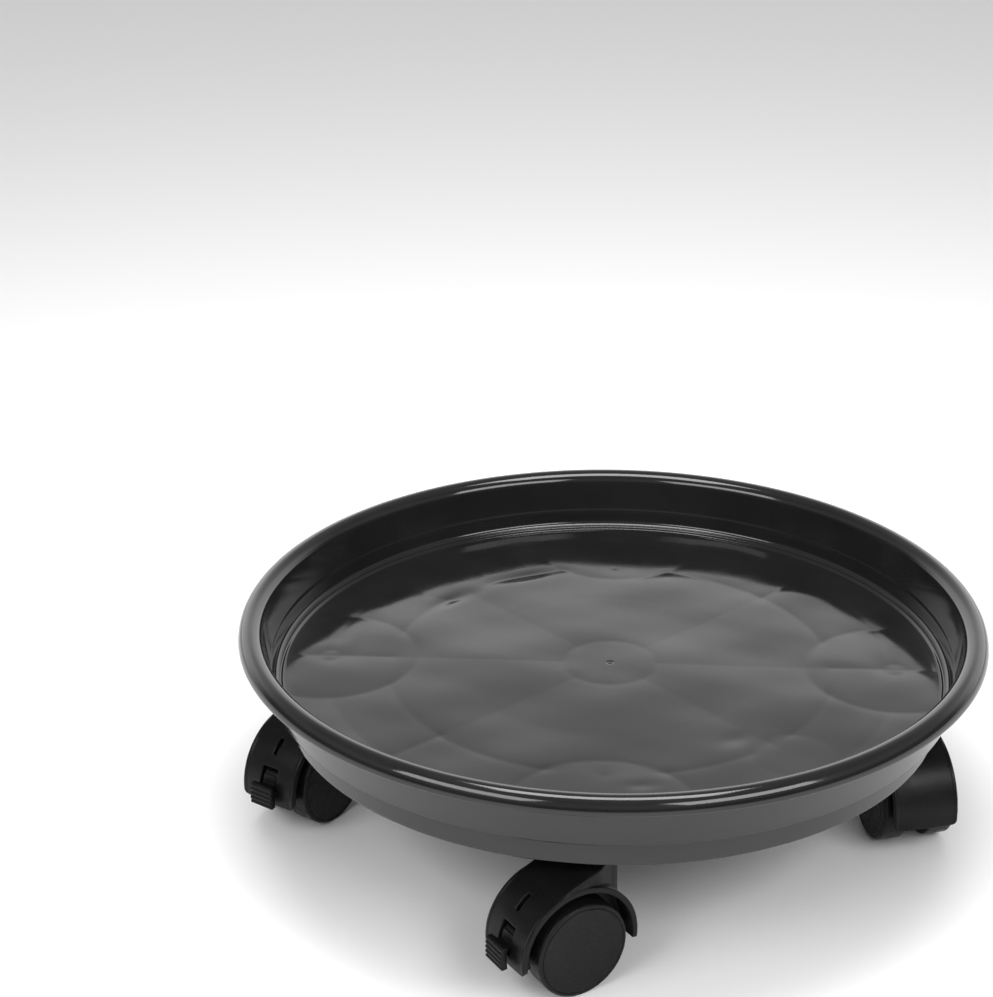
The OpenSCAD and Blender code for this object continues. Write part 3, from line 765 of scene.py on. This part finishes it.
def brake_field(x, y, z):
    """Distance field of a toe brake, in millimetres about its axle. Angles are in degrees."""
    w = np.abs(y)
    rho = np.hypot(x, z)
    a = np.degrees(np.arctan2(z, x))
    along = math.radians(1) * rho
    from_pivot = np.hypot(x - PIVOT[0], z - PIVOT[1])

    def strap(r0, r1, a0, a1, half, soft):
        """A curved bar between two radii and two angles."""
        across = np.maximum(a - a1, a0 - a) * along
        d = round_and(np.abs(rho - (r0 + r1) / 2) - (r1 - r0) / 2, across, soft)
        return round_and(d, w - half, soft)

    # tab with ridges for the shoe
    face_r = TAB_OUT_R - RIDGE_H
    span = np.maximum(a - TAB_HIGH, TAB_LOW - a) * along
    tab = round_and(np.abs(rho - (TAB_IN_R + face_r) / 2) - (face_r - TAB_IN_R) / 2, span, 0.5)
    tab = round_and(tab, w - TAB_HALF, 0.6)
    step = (TAB_HIGH - TAB_LOW) / RIDGES
    phase = (a - TAB_LOW) % step - step / 2
    ridge = np.hypot(rho - TAB_OUT_R + 0.9, phase * along) - RIDGE_R
    ridge = np.maximum(np.maximum(ridge, span), w - TAB_HALF + 0.3)
    tab = round_or(tab, ridge, 0.3)
    # arm through the window, and the strap down to the shoe that meets the wheels
    arm = strap(ARM_IN_R, TAB_IN_R + 0.6, ARM_LOW, TAB_HIGH - 1, ARM_HALF, 0.4)
    inner = strap(SHOE_IN_R, HOOD_R - 0.4, ARM_LOW, PIVOT_DEG, ARM_HALF, 0.4)
    neck = strap(SHOE_IN_R, SHOE_OUT_R, -2, ARM_LOW + 1, ARM_HALF, 0.4)
    boss = round_and(from_pivot - BOSS_R, w - ARM_HALF, 0.3)
    pin = round_and(from_pivot - PIVOT_R, w - PIVOT_HALF, 0.3)
    shoe = strap(SHOE_IN_R, SHOE_OUT_R, SHOE_LOW, SHOE_HIGH, SHOE_HALF, 0.5)
    body = round_or(tab, round_or(round_or(arm, inner, 0.5), neck, 0.3), 0.8)
    body = round_or(body, boss, 0.5)
    body = round_or(body, shoe, 0.5)
    return np.minimum(body, pin)


# ---- materials -----------------------------------------------------------------------
def tree_of(name):
    """A new material, its node tree and its shader."""
    mat = bpy.data.materials.new(name)
    mat.use_nodes = True
    tree = mat.node_tree
    tree.nodes.clear()
    out = tree.nodes.new("ShaderNodeOutputMaterial")
    shader = tree.nodes.new("ShaderNodeBsdfPrincipled")
    tree.links.new(shader.outputs[0], out.inputs["Surface"])
    return mat, tree, shader


def noise(tree, scale, detail=4.0, rough=0.5):
    """Noise fixed to the object, at so many cells a metre."""
    coords = tree.nodes.new("ShaderNodeTexCoord")
    node = tree.nodes.new("ShaderNodeTexNoise")
    node.inputs["Scale"].default_value = scale
    node.inputs["Detail"].default_value = detail
    node.inputs["Roughness"].default_value = rough
    tree.links.new(coords.outputs["Object"], node.inputs["Vector"])
    return node


def spread(tree, node, low, high, start=0.35, end=0.65):
    """The node's value brought from start..end to low..high."""
    span = tree.nodes.new("ShaderNodeMapRange")
    span.inputs["From Min"].default_value = start
    span.inputs["From Max"].default_value = end
    span.inputs["To Min"].default_value = low
    span.inputs["To Max"].default_value = high
    tree.links.new(node.outputs[0], span.inputs["Value"])
    return span


def tint(tree, node, dark, light):
    """The node's value turned into a colour from dark to light."""
    ramp = tree.nodes.new("ShaderNodeValToRGB")
    ramp.color_ramp.elements[0].position = 0.3
    ramp.color_ramp.elements[1].position = 0.7
    ramp.color_ramp.elements[0].color = (*dark, 1)
    ramp.color_ramp.elements[1].color = (*light, 1)
    tree.links.new(node.outputs[0], ramp.inputs[0])
    return ramp


def bump(tree, node, strength, distance, below=None):
    """Bumps of the node's value, on top of those below."""
    b = tree.nodes.new("ShaderNodeBump")
    b.inputs["Strength"].default_value = strength
    b.inputs["Distance"].default_value = distance
    tree.links.new(node.outputs[0], b.inputs["Height"])
    if below is not None:
        tree.links.new(below.outputs[0], b.inputs["Normal"])
    return b


def plastic(name, dark, light, rough, grain, shine=0.5, rough_scale=60, pebble=None):
    """Moulded plastic. grain and pebble are the scale and depth of its fine and coarse bumps."""
    mat, tree, shader = tree_of(name)
    tone = tint(tree, noise(tree, 25), dark, light)
    tree.links.new(tone.outputs[0], shader.inputs["Base Color"])
    wear = spread(tree, noise(tree, rough_scale, 6), *rough)
    tree.links.new(wear.outputs[0], shader.inputs["Roughness"])
    relief = bump(tree, noise(tree, grain[0], 2), 1.0, grain[1])
    if pebble:
        relief = bump(tree, noise(tree, pebble[0], 5, 0.65), 1.0, pebble[1], relief)
    tree.links.new(relief.outputs[0], shader.inputs["Normal"])
    shader.inputs["IOR"].default_value = 1.5
    shader.inputs["Specular IOR Level"].default_value = shine
    return mat


def steel():
    """Zinc-plated steel."""
    mat, tree, shader = tree_of("zinc_steel")
    tone = tint(tree, noise(tree, 180), (0.42, 0.42, 0.43), (0.6, 0.6, 0.61))
    tree.links.new(tone.outputs[0], shader.inputs["Base Color"])
    wear = spread(tree, noise(tree, 400, 6), 0.25, 0.45)
    tree.links.new(wear.outputs[0], shader.inputs["Roughness"])
    grain = bump(tree, noise(tree, 1500, 2), 0.5, 0.00002)
    tree.links.new(grain.outputs[0], shader.inputs["Normal"])
    shader.inputs["Metallic"].default_value = 1.0
    return mat


def paint(obj, *mats):
    """Gives the object these materials and no others."""
    obj.data.materials.clear()
    for mat in mats:
        obj.data.materials.append(mat)


def is_underside(at):
    """Whether a point on the tray, in millimetres, is inside the skirt and below the floor."""
    return math.hypot(at.x, at.y) < SKIRT_R - 0.3 and at.z < FLOOR_LOW_Z + 0.5


# ---- build ---------------------------------------------------------------------------
STEEL_PARTS = ("stem_", "grip_ring_", "stem_clip_", "axle_")

make_camera()
tray = make_tray()
hoods = {"braked": make_hood("braked"), "plain": make_hood("plain")}
wheel = make_wheel()
brake = surface("brake", brake_field, BRAKE_LOW, BRAKE_HIGH, BRAKE_CELL)

gloss = plastic("tray_gloss", (0.008, 0.008, 0.0083), (0.011, 0.011, 0.0114), (0.07, 0.12),
                (900, 0.00001))
# underside copy of the tray's own plastic: its higher roughness is the real textured finish, but its base colour,
# five times lighter than the top's, is painted light standing in for the light the underside gets
under = plastic("tray_underside", (0.042, 0.042, 0.043), (0.052, 0.052, 0.053), (0.34, 0.46),
                (700, 0.00004))
satin = plastic("hood_satin", (0.0035, 0.0035, 0.0036), (0.006, 0.006, 0.0061), (0.32, 0.44),
                (1400, 0.00008), shine=0.17, pebble=(260, 0.00012))
matte = plastic("wheel_matte", (0.0035, 0.0035, 0.0036), (0.008, 0.008, 0.0081), (0.28, 0.48),
                (1100, 0.00016), shine=0.18, rough_scale=320, pebble=(330, 0.0004))
zinc = steel()

# faces inside the skirt and below the floor get the underside copy, whose lighter base colour is painted light;
# the rest keep the glossy copy
paint(tray, gloss, under)
for face in tray.data.polygons:
    face.material_index = int(is_underside(face.center / MM))
for obj, mat in ((hoods["braked"], satin), (hoods["plain"], satin), (brake, satin),
                 (wheel, matte)):
    paint(obj, mat)

for name in CASTERS:
    braked = "brake_" + name in frame["nodes"]
    hood = copy_of(hoods["braked" if braked else "plain"], "hood_shell_" + name)
    place(hood, name, "caster_" + name, "hood_" + name)
    if braked:
        place(copy_of(brake, "toe_brake_" + name), name, "brake_" + name, "brake_" + name)
    for side, turn in (("a", -90), ("b", 90)):
        disc = copy_of(wheel, f"disc_{name}_{side}")
        place(disc, name, f"wheel_{name}_{side}", f"wheel_{name}_{side}")
        disc.matrix_world = (caster_frame(name) @ AXLE
                             @ Matrix.Rotation(math.radians(turn), 4, "X"))
    for part in STEEL_PARTS:
        paint(frame["nodes"][part + name], zinc)
for spare in (*hoods.values(), wheel, brake):
    bpy.data.objects.remove(spare)

# ---- studio ------------------------------------------------------------------------------
GROUND_SIZE = 6.0
GROUND_TONE = 0.88
GROUND_ROUGH = 0.9
# what the object reflects, behind it and in front: brightness by the sine of elevation
WORLD_PEAK = 2.0
BACK_GLOW = ((0, 1.7), (0.38, 1.7), (0.43, 1.45), (0.49, 0.95), (0.62, 0.45), (1, 0.35))
FRONT_GLOW = ((0, 0.1), (0.2, 0.1), (0.38, 0.4), (0.55, 0.35), (0.75, 0.2), (1, 0.35))
BACK_FROM, BACK_FULL = 0.35, 0.75
# even light from all sides
ROOM_TONE = 0.6
WHITE = (1, 1, 1, 1)
# soft boxes: position, point looked at, size, power
BOXES = {"top": ((0, 0.05, 1.5), (0, 0, 0.1), (0.9, 0.6), 16),
         "left": ((-0.8, -0.9, 1.0), (0, 0, 0.1), (0.95, 0.5), 9),
         "right": ((0.8, -0.9, 1.0), (0, 0, 0.1), (0.95, 0.5), 10)}


def make_floor():
    """Pale ground that can be looked through from below."""
    mesh = bpy.data.meshes.new("floor")
    s = GROUND_SIZE / 2
    mesh.from_pydata([(-s, -s, 0), (s, -s, 0), (s, s, 0), (-s, s, 0)], [], [(0, 1, 2, 3)])
    obj = bpy.data.objects.new("floor", mesh)
    scene.collection.objects.link(obj)
    mat, tree, shader = tree_of("floor")
    mesh.materials.append(mat)
    shader.inputs["Base Color"].default_value = (GROUND_TONE, GROUND_TONE, GROUND_TONE, 1)
    shader.inputs["Roughness"].default_value = GROUND_ROUGH
    side = tree.nodes.new("ShaderNodeNewGeometry")
    clear = tree.nodes.new("ShaderNodeBsdfTransparent")
    pick = tree.nodes.new("ShaderNodeMixShader")
    out = tree.nodes["Material Output"]
    tree.links.new(side.outputs["Backfacing"], pick.inputs[0])
    tree.links.new(shader.outputs[0], pick.inputs[1])
    tree.links.new(clear.outputs[0], pick.inputs[2])
    tree.links.new(pick.outputs[0], out.inputs["Surface"])


def area_light(name, at, look, size, power):
    """A rectangular soft box."""
    data = bpy.data.lights.new(name, "AREA")
    data.shape = "RECTANGLE"
    data.size, data.size_y = size
    data.energy = power
    obj = bpy.data.objects.new(name, data)
    obj.location = at
    obj.rotation_euler = (Vector(look) - Vector(at)).to_track_quat("-Z", "Y").to_euler()
    scene.collection.objects.link(obj)


def glow(tree, height, stops):
    """Brightness at each height from the stops, as a share of WORLD_PEAK."""
    ramp = tree.nodes.new("ShaderNodeValToRGB")
    ramp.color_ramp.interpolation = "EASE"
    elements = ramp.color_ramp.elements
    while len(elements) < len(stops):
        elements.new(0.5)
    for element, stop in zip(elements, stops):
        element.position = stop[0]
    for element, stop in zip(elements, stops):
        share = stop[1] / WORLD_PEAK
        element.color = (share, share, share, 1)
    tree.links.new(height, ramp.inputs[0])
    return ramp


def light_of(tree, strength, color=WHITE):
    node = tree.nodes.new("ShaderNodeBackground")
    node.inputs["Strength"].default_value = strength
    node.inputs["Color"].default_value = color
    return node


def choice(tree, chooser, other, chosen):
    """Takes the chosen light where the chooser is 1, the other elsewhere."""
    node = tree.nodes.new("ShaderNodeMixShader")
    tree.links.new(chooser, node.inputs[0])
    tree.links.new(other.outputs[0], node.inputs[1])
    tree.links.new(chosen.outputs[0], node.inputs[2])
    return node


def make_world():
    """Three surroundings in one: reflections see a bright wall behind the object and a dim
    front, matt surfaces get an even light, and the backdrop itself is plain white."""
    world = bpy.data.worlds.new("studio")
    scene.world = world
    world.use_nodes = True
    tree = world.node_tree
    tree.nodes.clear()
    # bright behind, dim in front
    coords = tree.nodes.new("ShaderNodeTexCoord")
    axes = tree.nodes.new("ShaderNodeSeparateXYZ")
    tree.links.new(coords.outputs["Generated"], axes.inputs[0])
    side = tree.nodes.new("ShaderNodeMapRange")
    side.interpolation_type = "SMOOTHSTEP"
    side.inputs["From Min"].default_value = BACK_FROM
    side.inputs["From Max"].default_value = BACK_FULL
    tree.links.new(axes.outputs["Y"], side.inputs["Value"])
    mix = tree.nodes.new("ShaderNodeMix")
    mix.data_type = "RGBA"
    tree.links.new(side.outputs[0], mix.inputs["Factor"])
    tree.links.new(glow(tree, axes.outputs["Z"], FRONT_GLOW).outputs[0], mix.inputs[6])
    tree.links.new(glow(tree, axes.outputs["Z"], BACK_GLOW).outputs[0], mix.inputs[7])
    reflected = light_of(tree, WORLD_PEAK)
    tree.links.new(mix.outputs[2], reflected.inputs["Color"])
    # one of the three by the kind of ray
    path = tree.nodes.new("ShaderNodeLightPath")
    light = choice(tree, path.outputs["Is Glossy Ray"], light_of(tree, ROOM_TONE), reflected)
    seen = choice(tree, path.outputs["Is Camera Ray"], light, light_of(tree, 1.0))
    out = tree.nodes.new("ShaderNodeOutputWorld")
    tree.links.new(seen.outputs[0], out.inputs["Surface"])


make_floor()
make_world()
for name, box in BOXES.items():
    area_light("box_" + name, *box)
scene.view_settings.view_transform = "Standard"
